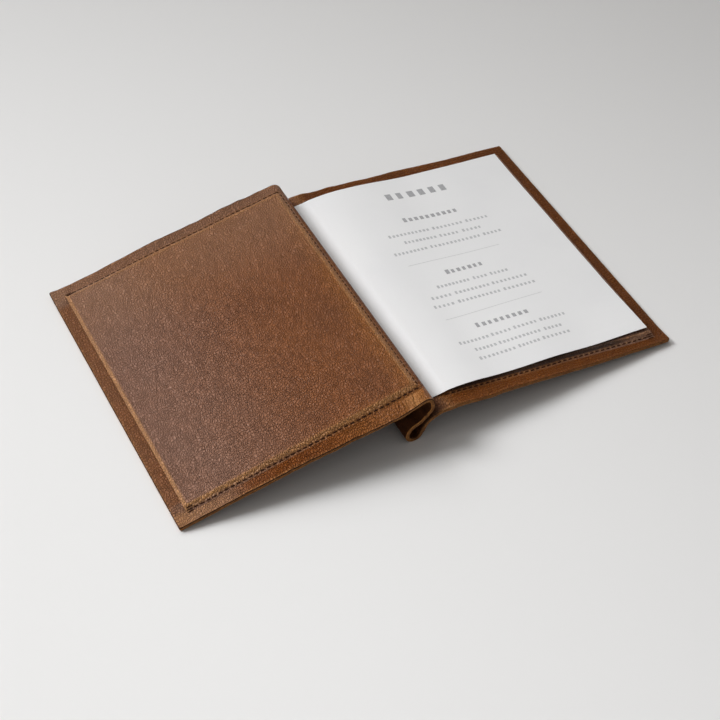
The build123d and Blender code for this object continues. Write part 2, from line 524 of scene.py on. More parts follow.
def new_group(name, *outputs):
    """A node group that takes a place in mm."""
    group = bpy.data.node_groups.new(name, "ShaderNodeTree")
    group.interface.new_socket("Place", in_out="INPUT", socket_type="NodeSocketVector")
    for label in outputs:
        group.interface.new_socket(label, in_out="OUTPUT", socket_type="NodeSocketFloat")
    place = group.nodes.new("NodeGroupInput").outputs["Place"]
    return group, place, group.nodes.new("NodeGroupOutput")


# The pebbles of the grain, in mm: how wide they are, and how long along the spine
PEBBLE_WIDE, PEBBLE_LONG = 1.6, 2.4


def make_pebble_grain():
    """Pebbled, slightly drawn hide: long cells with valleys, pores, creases and a slow mottle."""
    g, place, result = new_group("pebble_grain", "Height", "Relief", "Crease", "Mottle")
    shift = vectors(g, "SUBTRACT", clouds(g, place, 0.11, 2.0, output="Color"), (0.5, 0.5, 0.5))
    moved = vectors(g, "ADD", place, scaled(g, shift, 5.0))
    cells = vectors(g, "DIVIDE", moved, (PEBBLE_WIDE, PEBBLE_LONG, 1.0))
    pebble = sums(g, "POWER", step_up(g, cracks(g, cells, 1.0, 0.85), 0.0, 0.36), 0.8)
    grit = step_up(g, cracks(g, cells, 2.3, 1.0), 0.0, 0.4)
    folds = step_up(g, clouds(g, cells, 1.25, 3.0, 0.55), 0.3, 0.7)
    pores = clouds(g, place, 2.6, 2.0)
    swell = clouds(g, place, 0.22, 2.0)
    lines = clouds(g, drawn_out(g, moved, 0.12, 0.42, 0.07), 1.0, 4.0, 0.6)
    away = sums(g, "ABSOLUTE", sums(g, "SUBTRACT", lines, 0.5))
    crease = step_up(g, away, 0.0, 0.03, 1.0, 0.0)
    relief = weigh(g, ((pebble, 0.72), (folds, 0.18), (grit, 0.10)))
    height = weigh(g, ((pores, 0.14), (swell, 1.0), (crease, -0.3)), relief)
    mottle = clouds(g, place, 0.028, 5.0, 0.62)
    set_inputs(g, result, {"Height": height, "Relief": relief, "Crease": crease, "Mottle": mottle})
    return g


def make_fibres():
    """Cut or flesh side of the hide: short matted fibres and layers."""
    g, place, result = new_group("hide_fibres", "Height", "Shade")
    mat = clouds(g, place, 1.6, 6.0, 0.7, 0.8)
    patch = clouds(g, place, 0.16, 3.0)
    set_inputs(g, result, {"Height": mat, "Shade": weigh(g, ((patch, 0.4), (mat, 0.6)))})
    return g


pebble_grain = make_pebble_grain()
hide_fibres = make_fibres()


def fresh_material(name, preview):
    material = bpy.data.materials.new(name)
    material.use_nodes = True
    material.diffuse_color = preview
    tree = material.node_tree
    return material, tree, tree.nodes["Principled BSDF"]


def object_place(tree, fineness=1):
    """The place on the object in mm, over the fineness of what lies there."""
    return scaled(tree, put(tree, "TexCoord").outputs["Object"], fineness / MM)


def use_group(tree, group, place):
    return put(tree, "Group", {"Place": place}, node_tree=group).outputs


def surface(tree, shader, base, rough, shine, height, relief, depth):
    """Colour, roughness, shine and bumps that are depth mm deep."""
    bump = put(tree, "Bump", {"Height": height, "Strength": relief, "Distance": depth * MM})
    set_inputs(tree, shader, {"Base Color": base, "Roughness": rough, "Specular IOR Level": shine,
                              "Normal": bump.outputs[0]})


def colour(red, green, blue):
    """A colour given as it looks on a screen, from 0 to 255."""
    return tuple(((c / 255 + 0.055) / 1.055) ** 2.4 if c > 10 else c / 255 / 12.92
                 for c in (red, green, blue)) + (1.0,)


def grey(level, blue=None):
    """A grey given as the light it gives back, from 0 to 1."""
    return (level, level, blue or level, 1)


# tints for painted sheen, for rub with painted highlight, and for stain with painted shade
PAINTED_SHEEN_GREY, RUB_AND_HIGHLIGHT_TAN, STAIN_AND_SHADE_DARK = colour(152, 121, 107), colour(200, 144, 90), colour(34, 17, 8)


def grain_leather(name, deep, body, tan, ochre, relief, shade, gloss, shine):
    """Oiled pull-up leather, seen from the grain side. Its wear and painted light are stored on the
    mesh.
    """
    material, tree, shader = fresh_material(name, body)
    place = scaled(tree, put(tree, "UVMap", uv_map="cut").outputs[0], 1 / MM)
    grain = use_group(tree, pebble_grain, place)
    wear_and_light = {k: put(tree, "Attribute", attribute_name=k).outputs["Fac"] for k in WEAR_AND_LIGHT}
    tone = step_up(tree, grain["Mottle"], 0.3, 0.7)
    drift = step_up(tree, grain["Mottle"], 0.2, 0.8, 0.7, 1.0)
    proud = step_up(tree, grain["Relief"], 0.15, 0.6, 0.5, 1.0)
    base = deep
    for share, laid in (
            (sums(tree, "MULTIPLY_ADD", tone, 0.3, 0.62), body),
            (sums(tree, "MULTIPLY", wear_and_light["ochre"], drift), ochre),
            (wear_and_light["painted_sheen"], PAINTED_SHEEN_GREY),
            (step_up(tree, grain["Relief"], 0.35, 0.9, 0.0, shade * 0.4), tan),
            (step_up(tree, grain["Relief"], 0.05, 0.5, shade, 0.0), deep),
            (sums(tree, "MULTIPLY", grain["Crease"], 0.25), deep),
            (sums(tree, "MULTIPLY", wear_and_light["rub_and_highlight"], proud), RUB_AND_HIGHLIGHT_TAN),
            (wear_and_light["stain_and_shade"], STAIN_AND_SHADE_DARK)):
        base = blend_colours(tree, share, base, laid)
    sheen = step_up(tree, grain["Mottle"], 0.25, 0.75, gloss + 0.05, gloss - 0.05)
    valley = sums(tree, "SUBTRACT", 1.0, grain["Relief"])
    rough = weigh(tree, ((valley, 0.2), (wear_and_light["crimp"], -0.16)), sheen)
    ripple = clouds(tree, drawn_out(tree, place, 0.2, 0.45, 0.09), 1.0, 2.0, 0.5, 0.6)
    calm = sums(tree, "MULTIPLY_ADD", wear_and_light["crimp"], -0.6, 1.0)
    quiet = sums(tree, "MULTIPLY", grain["Height"], calm)
    height = weigh(tree, ((sums(tree, "MULTIPLY", ripple, wear_and_light["crimp"]), 4.0),), quiet)
    surface(tree, shader, base, rough, shine, height, relief, 0.6)
    return material


def fibrous_leather(name, deep, body, fineness, relief, rough):
    material, tree, shader = fresh_material(name, body)
    mat = use_group(tree, hide_fibres, object_place(tree, fineness))
    base = blend_colours(tree, step_up(tree, mat["Shade"], 0.35, 0.65), deep, body)
    surface(tree, shader, base, rough, 0.15, mat["Height"], relief, 0.5)
    return material


cover_grain = grain_leather(
    "cover_grain", deep=colour(63, 27, 3), body=colour(138, 72, 15), tan=colour(170, 114, 58),
    ochre=colour(158, 92, 22), relief=1.35, shade=0.40, gloss=0.38, shine=0.16)
panel_grain = grain_leather(
    "panel_grain", deep=colour(84, 44, 20), body=colour(149, 89, 46), tan=colour(164, 111, 70),
    ochre=colour(156, 95, 36), relief=1.25, shade=0.34, gloss=0.36, shine=0.30)

# Name: the deep and the full colour, the fineness of the fibres, their relief and the roughness
FIBROUS = {
    "flesh_side": ((58, 30, 15), (104, 62, 34), 1.0, 0.8, 0.9),
    "cut_edge": ((92, 56, 26), (156, 106, 58), 1.6, 0.6, 0.75),
    "burnished_rim": ((140, 86, 34), (184, 126, 66), 1.2, 0.3, 0.6),
    # painted shade along an arris that turns away from the lamps
    "painted_shade_arris": ((34, 18, 7), (78, 44, 18), 1.4, 0.4, 0.7),
    "waxed_thread": ((34, 16, 8), (74, 40, 22), 3.0, 0.5, 0.85),
    # the awl holes and the painted shadow under each thread
    "hole_and_thread_shadow": ((34, 16, 6), (62, 32, 14), 2.0, 0.3, 0.95),
    "grey_board": ((96, 88, 76), (140, 130, 114), 1.2, 0.3, 0.9),
}
fibrous = {name: fibrous_leather(name, colour(*deep), colour(*body), *rest)
           for name, (deep, body, *rest) in FIBROUS.items()}


def make_paper():
    material, tree, shader = fresh_material("menu_card", grey(0.8))
    place = object_place(tree)
    tooth = clouds(tree, place, 1.4, 5.0, 0.65)
    cloud = clouds(tree, place, 0.02, 3.0)
    tone = step_up(tree, weigh(tree, ((cloud, 0.5), (tooth, 0.5))), 0.35, 0.65)
    white = blend_colours(tree, tone, grey(0.86, 0.865), grey(0.89))
    surface(tree, shader, white, 0.72, 0.35, tooth, 0.12, 0.2)
    return material


def make_ink(name, light, dark):
    material, tree, shader = fresh_material(name, grey(0.3))
    tooth = clouds(tree, object_place(tree), 1.1, 3.0)
    tone = blend_colours(tree, step_up(tree, tooth, 0.35, 0.65), light, dark)
    set_inputs(tree, shader, {"Base Color": tone, "Roughness": 0.7})
    return material


menu_card = make_paper()
title_ink = make_ink("title_ink", grey(0.45, 0.46), grey(0.37, 0.38))
line_ink = make_ink("line_ink", grey(0.58, 0.59), grey(0.50, 0.51))
rule_ink = make_ink("rule_ink", grey(0.66), grey(0.62))


# ---- cover leather
RULE_PITCH = 2.1
EDGE_RULES = (0.5, 1.2)
LENGTH_LINES = ruled(0, COVER_LENGTH, RULE_PITCH, [COVER_LENGTH - d for d in EDGE_RULES])
CROSS_LINES = ruled(-HALF_HEIGHT, HALF_HEIGHT, RULE_PITCH,
                    [end * (HALF_HEIGHT - d) for end in (TAIL, HEAD) for d in EDGE_RULES])
# The strip's material slots
GRAIN, FLESH, CUT, BURNISHED, PAINTED_SHADE_ARRIS = range(5)
ARRIS_WIDTH = 0.6
JOINT_REACH = 2.2
BEND_FADE = 14
KNIFE_ERROR, KNIFE_REACH = 0.35, 3


def shape_cover(piece, side):
    """Rounds the fore-edge corners and gives the margins their lie."""
    for v in piece.data.vertices:
        u, y, n = from_leaf(side, v.co)
        if abs(n + LEATHER / 2) > 0.3 or u < -0.01:
            # round the bends, the lie of the cover's start fades away
            arm = v.co - on_leaf(side, 0, y, -LEATHER / 2)
            fade = ease(1 - arm.length / (BEND_FADE * MM))
            v.co += LEAVES[side][2] * (margin_lie(side, 0, y) * fade * MM)
            continue
        u, y = round_corner(u, y, COVER_LENGTH - COVER_CORNER, HALF_HEIGHT - COVER_CORNER, 1)
        if abs(y) > HALF_HEIGHT - KNIFE_REACH:
            # the long edges are cut by hand, and not quite straight
            wobble = noise.noise(Vector((u * 0.13, y * 0.02, EDGE_WAVES))) * KNIFE_ERROR
            near = ease((abs(y) - HALF_HEIGHT + KNIFE_REACH) / KNIFE_REACH)
            y += math.copysign(wobble - 0.15, y) * near
        v.co = on_leaf(side, u, y, -LEATHER / 2 + lie_of_leather(side, u, y))
        v.co.z = max(v.co.z, LEATHER / 2 * MM)


# How much pale, pinkish painted sheen the left cover's tail margin has along its length
TAIL_SHEEN = [(0, 0.0), (25, 0.15), (45, 0.05), (100, 0.0), (122, 0.1), (142, 0.6), (165, 0.75),
              (177.5, 0.5)]


def edge_rub(u, y):
    """How far a place is in from the cut edges, and how rubbed it is, most of all by the fold."""
    edge = min(HALF_HEIGHT - abs(y), COVER_LENGTH - u)
    return edge, (0.15 + 0.45 * ease((14 - u) / 12)) * ease((2.0 - edge) / 1.4)


def left_wear_and_light(co):
    u, y, _ = from_leaf("left", co)
    # how far a place lies in each margin
    tail, head, fore_edge = ease((-y - 104) / 5), ease((y - 100) / 8), ease((u - 164) / 5)
    edge, rub_and_highlight = edge_rub(u, y)
    rub_and_highlight += rise(u, 0.3, 60, 60) * ease((2.2 - edge) / 1.6)
    # a painted highlight where the tail margin rolls over the fold, a painted sheen on the tail
    # margin towards the fore-edge, and paler head and fore-edge margins
    shine = bulge(u, 0.6, 5.0, 7.0) * (0.3 + 0.7 * tail)
    pale = 0.06 * tail * ease((90 - u) / 70) + 0.45 * tail * ease((u - 120) / 40)
    pale += 0.2 * head + 0.12 * fore_edge
    painted_sheen = glide(TAIL_SHEEN, u) if y < -100 else 0.6 * ease((y - 96) / 8) + 0.25 * fore_edge
    return {"rub_and_highlight": min(max(rub_and_highlight, pale, shine), 1.0), "ochre": 0.6 * tail * ease((80 - u) / 50),
            "painted_sheen": painted_sheen, "stain_and_shade": 0.05 * fore_edge, "crimp": tail * ease((46 - u) / 30)}


def fold_wear_and_light(co):
    # painted shade over the whole fold, which lies deep between the covers; its ends at the head
    # and tail are rubbed
    return {"rub_and_highlight": 0.35 * ease((abs(co.y) / MM - 114) / 3), "stain_and_shade": 0.6}


def right_wear_and_light(co):
    u, y, _ = from_leaf("right", co)
    _, rub_and_highlight = edge_rub(u, y)
    # darker all over and more so towards the fore-edge, with painted shade darkest down in the fold
    stain_and_shade = max(0.14 + rise(u, 0.1, 110, 60), 0.7 * ease(-(u + 3) / 5))
    return {"rub_and_highlight": max(rub_and_highlight, bulge(u, 0.35, 1.0, 4.5)), "ochre": 0.15 * ease(u / 10),
            "painted_sheen": bulge(u, 0.3, -3.0, 4.0), "stain_and_shade": stain_and_shade, "crimp": 0.4 * ease((10 - u) / 14)}


def ease_cut_edge(piece, neighbour, eased, kept_square):
    """Rounds the arris between the cut edge and a face, except where the next piece goes on."""
    mesh = piece.data
    slots = {}
    for f in mesh.polygons:
        for key in f.edge_keys:
            slots.setdefault(key, []).append(f.material_index)

    def is_arris(edge):
        beside = slots.get(tuple(sorted(edge.vertices)), [])
        middle = sum((mesh.vertices[i].co for i in edge.vertices), Vector()) / 2
        return len(beside) == 2 and set(beside) == {CUT, neighbour} and not kept_square(middle)

    open_edges(piece, is_arris)
    bpy.ops.mesh.bevel(offset=ARRIS_WIDTH * MM, segments=2, affect="EDGES", profile=0.6,
                       material=eased)
    close_mesh()


def finish_strip(piece, first, offset, side, wear_and_light, joints, grain_arris):
    """Gives a wrapped piece its pattern, shape, wear and painted light, thickness and edges."""
    run = lay_pattern(piece, first, offset)
    rule_lines(piece, ys=CROSS_LINES)
    if side:
        face_off_leaf(piece, side)
        shape_cover(piece, side)
    else:
        face_up(piece, first + ahead_at(DOWN_HEADING) * (HALF_RUN / 2 * MM), Vector((1, 0, -1)))
    store_wear_and_light(piece, [wear_and_light(v.co) for v in piece.data.vertices])
    dress(piece, cover_grain, *(fibrous[k] for k in ("flesh_side", "cut_edge", "burnished_rim",
                                                     "painted_shade_arris")))
    thicken(piece, LEATHER, 0, FLESH, CUT)

    def joins_next(co):
        return any((co.xz - spot.xz).length < JOINT_REACH * MM for spot in joints)

    ease_cut_edge(piece, GRAIN, grain_arris, joins_next)
    ease_cut_edge(piece, FLESH, BURNISHED, joins_next)
    smooth(piece)
    return run


def make_left_leather():
    first, last = (on_leaf("left", u, 0, -LEATHER / 2) for u in (COVER_LENGTH, 0))
    piece = bench_plane("left_leather", first, last, HALF_HEIGHT)
    rule_lines(piece, "left", LENGTH_LINES)
    wrap(piece, last, LEFT_TILT, ROLL_BENDS)
    # the left cover's grain-side arris gets painted shade, where its cut edge turns down away from
    # the lamps
    return piece, finish_strip(piece, first, 0.0, "left", left_wear_and_light, [STRIP_MIDDLE], PAINTED_SHADE_ARRIS)


def make_fold_leather(offset):
    tip = STRIP_MIDDLE + ahead_at(DOWN_HEADING) * (HALF_RUN * MM)
    piece = bench_plane("fold_leather", STRIP_MIDDLE, tip, HALF_HEIGHT)
    end = wrap(piece, tip, DOWN_HEADING, FOLD_BENDS)
    run = finish_strip(piece, STRIP_MIDDLE, offset, None, fold_wear_and_light, [STRIP_MIDDLE, end], GRAIN)
    return piece, run, end


def make_right_leather(begin, offset):
    tip = begin + ahead_at(UP_HEADING) * (HALF_RUN * MM)
    piece = bench_plane("right_leather", begin, tip, HALF_HEIGHT)
    wrap(piece, tip, UP_HEADING, RISE_BENDS)
    rule_lines(piece, "right", LENGTH_LINES)
    finish_strip(piece, begin, offset, "right", right_wear_and_light, [begin], GRAIN)
    return piece


left_leather, run = make_left_leather()
fold_leather, run, rear_middle = make_fold_leather(run)
right_leather = make_right_leather(rear_middle, run)
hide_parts("left_cover_leather", "spine_roll")
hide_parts("spine_fold")
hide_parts("right_cover_leather", "spine_rise")
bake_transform(left_leather)
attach(fold_leather, "spine")
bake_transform(right_leather)


# ---- pocket panels
# How far the ruled lines are in from a sewn edge and from the mouth
RIM_LINES = (0.3, 0.7, 1.1, 1.6, 2.1, 2.6, 3.1, 3.7, 4.3, 4.8, 5.2, 5.6, 6.1, 6.8, 7.8, 9.2)
MOUTH_LINES = (0.12, 0.4, 0.8, 1.3, 1.9, 2.4, 3.0, 3.8)
# Where each panel's pattern lies beside the strip's
PATTERN_ALONG, PATTERN_ACROSS = 410, {"left": 0, "right": 300}
# How much rub and painted highlight the bevel's crest has, how far in it lies and how wide it is
CREST_RUB_AND_HIGHLIGHT = {"spine": (0.75, 4.8, 0.8), "tail": (0.4, 4.7, 0.9), "head": (0.6, 5.0, 1.3)}
# the mouth's rub and painted highlight: strong on the left panel, whose mouth faces the lamps,
# faint on the right one in shade
MOUTH_RUB_AND_HIGHLIGHT = {"left": 0.75, "right": 0.1}


def panel_place(side, u, y, lift=0.0):
    """Where a place of the flat panel ends up, lift above its grain."""
    sy = sewn_y(side, u, y)
    d = panel_rim(side, u, y)
    n = panel_top(side, u, y) + lie_of_leather(side, u, sy) * (1 - ease((d - 3.2) / 4))
    return u, sy, n - roll_drop(u) + lift


def panel_wear_and_light(side, u, y):
    d = panel_rim(side, u, y)
    to_spine, to_tail = u - PANEL_START[side], PANEL_HALF + y
    pull = pull_of_thread(side, u, y) if u < SEAM_END else 0.0
    edge = "spine" if PANEL_HALF - abs(y) >= to_spine else "tail" if y < 0 else "head"
    # rubbed and painted highlight: the bevel's crest and the mouth; painted highlights on the
    # swells between stitches; painted light on the bevel's whole band
    crest = bulge(d, *CREST_RUB_AND_HIGHLIGHT[edge])
    swell = max(pull, 0) * bulge(d, 0.5, 2.0, 0.7)
    mouth = MOUTH_RUB_AND_HIGHLIGHT[side] * ease((u - PANEL_END + 3.4) / 1.6)
    band = ease((d - 1.9) / 0.6) * ease((5.6 - d) / 1.4)
    band *= {"spine": 0.5, "tail": 0.75 + rise(u, 0.25, 90, 50), "head": 0.1}[edge]
    if side == "right":
        band *= 0.15
    # darker in the seam's groove, most under the stitches; painted shadow of the sheet on the right
    # panel's tail rim in front of it
    stain_and_shadow = bulge(d, 0.4, SEAM_INSET, 0.7) * (0.6 - 0.4 * pull)
    if side == "right" and to_tail < 20:
        dark = rise(d, 0.88, 1.9, 1.0) * ease((12 - to_tail) / 6)
        stain_and_shadow = max(stain_and_shadow, dark * ease((160 - u) / 30) * ease((u - 3) / 6))
    bevel = 0.85 * ease((6.2 - d) / 2.0)
    return {"rub_and_highlight": min(max(crest, swell, mouth, band, rise(y, 0.2, 20, 80)), 1.0),
            "stain_and_shade": stain_and_shadow,
            "ochre": max(0.75 * ease((21 - to_spine) / 17), bevel, 0.3 * ease((12 - d) / 8)),
            # painted sheen towards the fore-edge and towards the head
            "painted_sheen": max(rise(u, 0.62, 40, 120), rise(y, 0.32, 5, 95))}


def make_panel(side):
    begin = PANEL_START[side]
    first, last = (on_leaf(side, u, 0, 0) for u in (PANEL_END, begin))
    piece = bench_plane(side + "_panel", first, last, PANEL_HALF)
    mesh = piece.data
    pattern = mesh.uv_layers.new(name="cut")
    for loop in mesh.loops:
        u, y, _ = from_leaf(side, mesh.vertices[loop.vertex_index].co)
        pattern.data[loop.index].uv = (u + PATTERN_ALONG) * MM, (y + PATTERN_ACROSS[side]) * MM
    us = [begin + d for d in RIM_LINES] + [PANEL_END - d for d in MOUTH_LINES]
    half_pitch = TAIL_PITCH[side] / 2
    us += [SEAM_SPINE[side] + i * half_pitch for i in range(4, 2 * TAIL_STITCHES[side] + 1)]
    ys = [end * (PANEL_HALF - d) for end in (TAIL, HEAD) for d in RIM_LINES]
    ys += [i * SPINE_PITCH / 2 for i in range(-46, 47)]
    rule_lines(piece, side, us, ys)
    face_off_leaf(piece, side)
    wear_and_light = []
    for v in mesh.vertices:
        u, y, _ = from_leaf(side, v.co)
        u, y = round_corner(u, y, begin + PANEL_CORNER, PANEL_HALF - PANEL_CORNER, -1)
        wear_and_light.append(panel_wear_and_light(side, u, y))
        su, sy, sn = panel_place(side, u, y)
        swell = wave(u, y, 0.022, PANEL_WAVES[side]) * 0.16
        v.co = on_leaf(side, su, sy, sn + swell * ease((panel_rim(side, u, y) - 7) / 14))
    store_wear_and_light(piece, wear_and_light)
    dress(piece, panel_grain, fibrous["flesh_side"], fibrous["cut_edge"])
    thicken(piece, PANEL_LEATHER, -1, FLESH, CUT)
    for v in mesh.vertices:
        # the back of the panel stays off the cover
        u, y, n = from_leaf(side, v.co)
        floor = lie_of_leather(side, u, y) + PANEL_GAP - roll_drop(u)
        if n < floor:
            v.co = on_leaf(side, u, y, floor)
    smooth(piece, 45)
    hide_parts(side + "_pocket_panel")
    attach(piece, side + "_cover")


for side in LEAVES:
    make_panel(side)


# ---- sewing
def make_stitch(name, length, width, height):
    """One stitch of waxed thread, along X, its ends turned down into the leather."""
    clear_choice()
    bpy.ops.mesh.primitive_cylinder_add(vertices=8, radius=0.5, depth=1, end_fill_type="NGON",
                                        rotation=(0, math.pi / 2, 0))
    piece = bpy.context.object
    piece.name = name
    bpy.ops.object.transform_apply(location=True, rotation=True, scale=True)
    open_mesh(piece)
    for x in (-0.38, -0.22, 0.0, 0.22, 0.38):
        rule_across((x, 0, 0), (1, 0, 0))
    take_all()
    bpy.ops.transform.resize(value=(length * MM, width * MM, height * MM))
    close_mesh()
    for v in piece.data.vertices:
        t = abs(v.co.x) / (length * MM / 2)
        pinch = 0.5 + 0.5 * math.sqrt(max(0.0, 1 - (t * 0.9) ** 2))
        v.co.y *= pinch
        v.co.z = v.co.z * pinch - height * MM * 0.45 * t ** 4
    dress(piece, fibrous["waxed_thread"])
    return piece


def make_bed(name, length, width):
    """The dark bed under a stitch: the thread's painted shadow, with the awl hole at each end."""
    clear_choice()
    bpy.ops.mesh.primitive_circle_add(vertices=12, radius=0.5, fill_type="NGON")
    piece = bpy.context.object
    piece.name = name
    open_mesh(piece)
    take_all()
    bpy.ops.mesh.inset(thickness=0.16, depth=0)
    bpy.ops.transform.translate(value=(0, 0, -0.12 * MM))
    take_all()
    bpy.ops.transform.resize(value=(length * MM, width * MM, 1))
    close_mesh()
    for v in piece.data.vertices:
        v.co.y *= 0.75 + 0.5 * abs(v.co.x) / (length * MM / 2)
    dress(piece, fibrous["hole_and_thread_shadow"])
    return piece


stitch_blank = make_stitch("stitch_blank", length=3.5, width=0.85, height=0.6)
tack_blank = make_stitch("tack_blank", length=5.0, width=0.7, height=0.6)
bed_blank = make_bed("bed_blank", length=3.6, width=1.15)

# How far a stitch strays, leans and differs in length, and how high it stands on each edge
STRAY, LEAN, LENGTHS = 0.12, (0.6, 1.3), (0.92, 1.06)
TAIL_LIFT, HEAD_LIFT, SPINE_LIFT = 0.14, 0.38, 0.02
HEAD_BED = 1.15
UNDER_GAP = 0.05
# Each bar tack is three threads side by side, in from the mouth
TACK_INSET, TACK_STEP, TACK_SHIFT = 3.0, 1.35, 0.35


def set_down(blank, place, along, up, scale=1.0):
    """A copy of a blank, with its own mesh, put down on the leather."""
    x = along.normalized()
    z = (up - x * up.dot(x)).normalized()
    turn = Matrix((x, z.cross(x), z)).transposed().to_4x4()
    copy = blank.copy()
    copy.data = blank.data.copy()
    bpy.context.scene.collection.objects.link(copy)
    copy.data.transform(Matrix.Translation(place) @ turn @ Matrix.Diagonal((scale, 1, 1, 1)))
    return copy


def panel_spot(side, u, y, lift=0.0):
    return on_leaf(side, *panel_place(side, u, y, lift))


def off_leather(side, u):
    """The direction straight off the leather, on the flat and round the roll."""
    _, out, up = LEAVES[side]
    if u < 0:
        return (up + out * (u / math.sqrt(ROLL_OUTSIDE ** 2 - u ** 2))).normalized()
    return up


def finish_sewing(pieces, name, side):
    sewing = join(pieces, name)
    smooth(sewing, 60)
    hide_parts(name)
    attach(sewing, side + "_cover")


def sew_line(side, name, middles, half, lift):
    """A row of stitches at places of the flat panel, above it and below the cover."""
    _, out, up = LEAVES[side]
    pieces = []
    for u, y in middles:
        u += random.uniform(-STRAY, STRAY)
        y += random.uniform(-STRAY, STRAY)
        off = off_leather(side, u)
        a = panel_spot(side, u - half[0], y - half[1])
        b = panel_spot(side, u + half[0], y + half[1])
        slant = Vector((0, 0.1, 0)) if half[0] else out * -0.1
        along = (b - a).normalized() + slant * random.uniform(*LEAN)
        size = random.uniform(*LENGTHS)
        pieces.append(set_down(stitch_blank, panel_spot(side, u, y, lift), along, off, size))
        bed_size = size * HEAD_BED if y > SEAM_LONG - 1 else size
        bed_spot = panel_spot(side, u, y, lift - 0.02)
        pieces.append(set_down(bed_blank, bed_spot, along, off, bed_size))
        sy = sewn_y(side, u, y)
        under = lie_of_leather(side, u, sy) - LEATHER - UNDER_GAP
        if u <= -0.5:
            # round the roll, the lower thread follows the inside of the bend
            under -= u * 0.03
        pieces.append(set_down(stitch_blank, on_leaf(side, u, sy, under), along, -up, size))
    finish_sewing(pieces, name, side)


def sew_panel(side):
    spine, pitch = SEAM_SPINE[side], TAIL_PITCH[side]
    for end, name, lift in ((TAIL, "_tail_seam", TAIL_LIFT), (HEAD, "_head_seam", HEAD_LIFT)):
        middles = [(spine + (i + 0.5) * pitch, end * SEAM_LONG) for i in range(TAIL_STITCHES[side])]
        sew_line(side, side + name, middles, (pitch / 2, 0), lift)
    reach = SPINE_STITCHES // 2
    middles = [(spine, i * SPINE_PITCH) for i in range(-reach, reach + 1)]
    sew_line(side, side + "_spine_seam", middles, (0, SPINE_PITCH / 2), SPINE_LIFT)
    tacks = []
    for end in (HEAD, TAIL):
        for row in (-1, 0, 1):
            u = PANEL_END - TACK_INSET + row * TACK_SHIFT
            y = end * (SEAM_LONG + row * TACK_STEP)
            a, b = (panel_spot(side, u + k, y, 0.1 + 0.06 * end) for k in (-1, 1))
            tacks.append(set_down(tack_blank, (a + b) / 2, b - a, LEAVES[side][2]))
    finish_sewing(tacks, side + "_bar_tacks", side)


for side in LEAVES:
    sew_panel(side)
for blank in (stitch_blank, tack_blank, bed_blank):
    bpy.data.objects.remove(blank)
for side in LEAVES:
    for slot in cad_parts[side + "_board"].material_slots:
        slot.material = fibrous["grey_board"]


# ---- menu sheet
def lie_of_sheet(u, y):
    """Height of the sheet's middle over the right cover's grain."""
    head = ease((y + 60) / 150)
    # the lifted corners at the fore-edge, at the tail and at the head
    corner = rise(u, 1.7, 112, 56) * ease((-y - 45) / 65)
    back = rise(u, 0.5, 130, 40) * ease((y - 60) / 50)

    def spring(run):
        return 1 - (1 - clamp((u - SHEET_START) / run)) ** 2

    # the bow beside the fold, long at the head and short at the tail
    bow = 2.5 * head * spring(26) * ease((90 - u) / 50)
    bow += 1.1 * (1 - head) * spring(18) * ease((48 - u) / 22)
    swell = rise(u, 0.9, 60, 30) * ease((130 - u) / 40) * ease((-y - 30) / 60)
    ripple = wave(u, y, 0.018, SHEET_WAVES) * 0.3
    return SHEET_LEVEL + corner + back + bow + swell + ripple * ease((u - 6) / 20)


# The section of the sheet where it goes over the rise and down into the fold, in mm
TUCK_LINE = [(14.42, 22.23), (12.6, 21.95), (10.4, 21.5), (7.3, 21.0), (4.25, 20.75), (1.2, 20.1),
             (-1.9, 19.0), (-4.8, 17.6), (-7.3, 16.3), (-9.43, 15.13)]


def along_tuck(t):
    """A smooth line through the tuck's places; t runs from 0 to 1."""
    n = len(TUCK_LINE) - 1
    i = min(int(t * n), n - 1)
    f = t * n - i
    near = [TUCK_LINE[min(max(i + k, 0), n)] for k in (-1, 0, 1, 2)]
    return [0.5 * (2 * b + (c - a) * f + (2 * a - 5 * b + 4 * c - d) * f * f
                   + (3 * b - a - 3 * c + d) * f ** 3) for a, b, c, d in zip(*near)]


def make_sheet():
    """The menu sheet, flat on the right panel and bent down into the fold at its spine edge."""
    begin = SHEET_START - SHEET_TUCK
    first, last = (on_leaf("right", u, 0, SHEET_LEVEL) for u in (SHEET_END, begin))
    sheet = bench_plane("menu_sheet_card", first, last, SHEET_HALF)
    flat, tuck = ruled(SHEET_START, SHEET_END, 3.2), ruled(begin, SHEET_START, 1.4)
    rule_lines(sheet, "right", flat + tuck + [SHEET_START], ruled(-SHEET_HALF, SHEET_HALF, 3.5))
    face_off_leaf(sheet, "right")
    for v in sheet.data.vertices:
        u, y, _ = from_leaf("right", v.co)
        if u >= SHEET_START - 1e-6:
            v.co = on_leaf("right", u, y + SHEET_SHIFT, lie_of_sheet(u, y))
        else:
            x, z = along_tuck((SHEET_START - u) / SHEET_TUCK)
            v.co = Vector((x, y + SHEET_SHIFT, z)) * MM
    dress(sheet, menu_card)
    thicken(sheet, PAPER, 0, 0, 0)
    smooth(sheet, 50)
    return sheet


